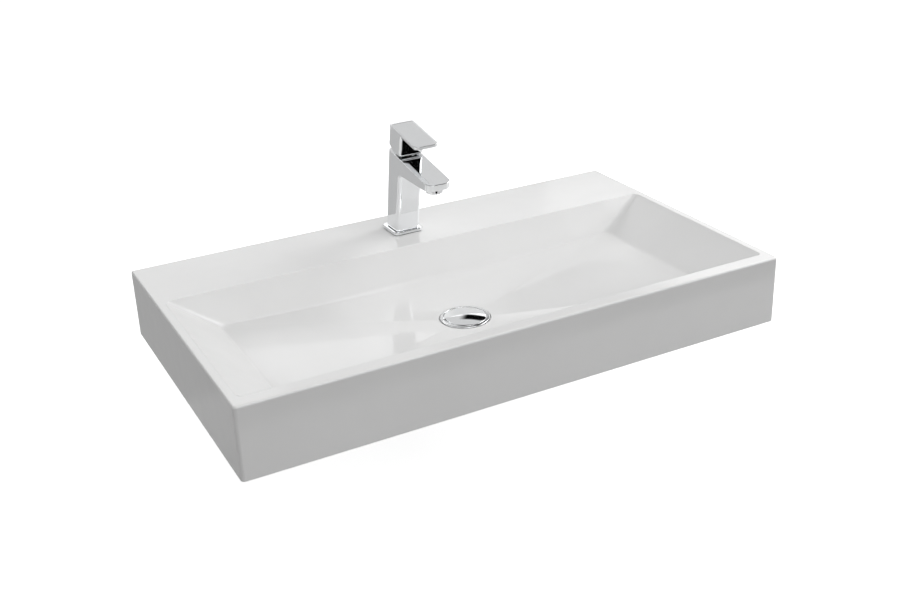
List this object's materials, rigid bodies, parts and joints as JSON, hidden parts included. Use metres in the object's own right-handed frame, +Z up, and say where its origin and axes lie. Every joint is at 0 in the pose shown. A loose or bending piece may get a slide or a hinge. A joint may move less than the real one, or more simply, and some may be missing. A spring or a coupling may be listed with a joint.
{
  "type": "washbasin with mixer tap",
  "caption": "Rectangular ceramic washbasin with a flat tap deck, a sloping bowl, a single lever mixer tap and a push-open waste.",
  "frame": {"origin": "midway between the two wall bolt holes, on the back face of the basin", "axes": "+X to the right seen from the front, +Y towards the wall, +Z up"},
  "size_m": [0.8, 0.45, 0.3182],
  "materials": {
    "glazed_ceramic": "high gloss white glaze",
    "chrome": "polished chrome plate on brass",
    "brass": "turned",
    "black_rubber": "matt moulded",
    "steel": "bright stainless",
    "disc_ceramic": "lapped",
    "white_plastic": "moulded"
  },
  "bodies": {
    "fixed_set": {"basin": "glazed_ceramic", "tap_base_plate": "chrome", "tap_base_gasket": "black_rubber", "tap_body": "chrome", "cartridge_seals": "black_rubber", "cartridge_base": "white_plastic", "fixed_disc": "disc_ceramic", "cartridge_housing": "white_plastic", "housing_seal": "black_rubber", "cartridge_nut": "brass", "aerator_ring": "chrome", "aerator_insert": "white_plastic", "aerator_seal": "black_rubber", "clamp_stud": "steel", "clamp_seal": "black_rubber", "clamp_plate": "steel", "clamp_nut": "brass", "waste_flange": "chrome", "waste_top_seal": "black_rubber", "click_sleeve": "brass", "click_spring": "steel", "waste_under_seal": "black_rubber", "waste_washer": "white_plastic", "waste_nut": "brass"},
    "swivel": {"spindle_holder": "white_plastic", "spindle_pin": "steel"},
    "lever_set": {"spindle": "brass", "lever": "chrome", "lever_screw": "steel", "indicator_cap": "chrome"},
    "disc_set": {"moving_disc": "disc_ceramic", "disc_carrier": "white_plastic"},
    "plug": {"waste_cap": "chrome", "waste_cap_seal": "black_rubber", "plug_stem": "brass"}
  },
  "joints": [
    {"name": "lever_swivel", "type": "hinge", "parent": "fixed_set", "child": "swivel", "pos_m": [0, -0.08686, 0.16591], "axis": [0, -0.1736, 0.9848], "range_deg": [-50, 50]},
    {"name": "lever_tilt", "type": "hinge", "parent": "swivel", "child": "lever_set", "pos_m": [0, -0.08686, 0.16591], "axis": [-1, 0, 0], "range_deg": [0, 20]},
    {"name": "disc_slide", "type": "slide", "parent": "swivel", "child": "disc_set", "axis": [0, -0.9848, -0.1736], "range_m": [0, 0.00366]},
    {"name": "plug_lift", "type": "slide", "parent": "fixed_set", "child": "plug", "axis": [0, 0, 1], "range_m": [0, 0.008], "deforming": ["click_spring"]}
  ],
  "couplings": [
    {"joint": "disc_slide", "follows": "lever_tilt", "m_per_rad": 0.010447}
  ]
}
